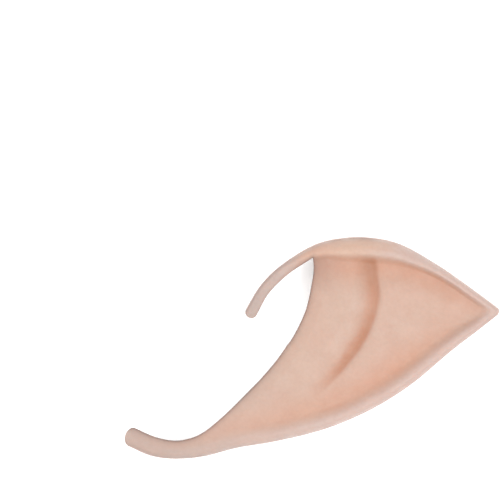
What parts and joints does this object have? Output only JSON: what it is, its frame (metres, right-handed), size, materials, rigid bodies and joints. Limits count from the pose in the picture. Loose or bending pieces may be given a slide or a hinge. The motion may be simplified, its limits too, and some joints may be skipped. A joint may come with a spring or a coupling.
{
  "type": "elf ear tip",
  "caption": "Pointed ear tip of soft latex: a thin hollow pocket with a rolled rim, a folded face, a curled hook and a tail, worn over the top of an ear.",
  "frame": {"origin": "on the surface that the piece lies on, under the middle of its bounding box", "axes": "+X from the tail to the point, +Y towards the hook's side, +Z out of the face, away from the back"},
  "size_m": [0.1194, 0.0536, 0.013],
  "materials": {
    "latex": "matt to satin skin tone, tinted by hand in the hollows of the face, paler on the rim"
  },
  "bodies": {
    "root": {"ear_tip": "latex"}
  },
  "joints": []
}
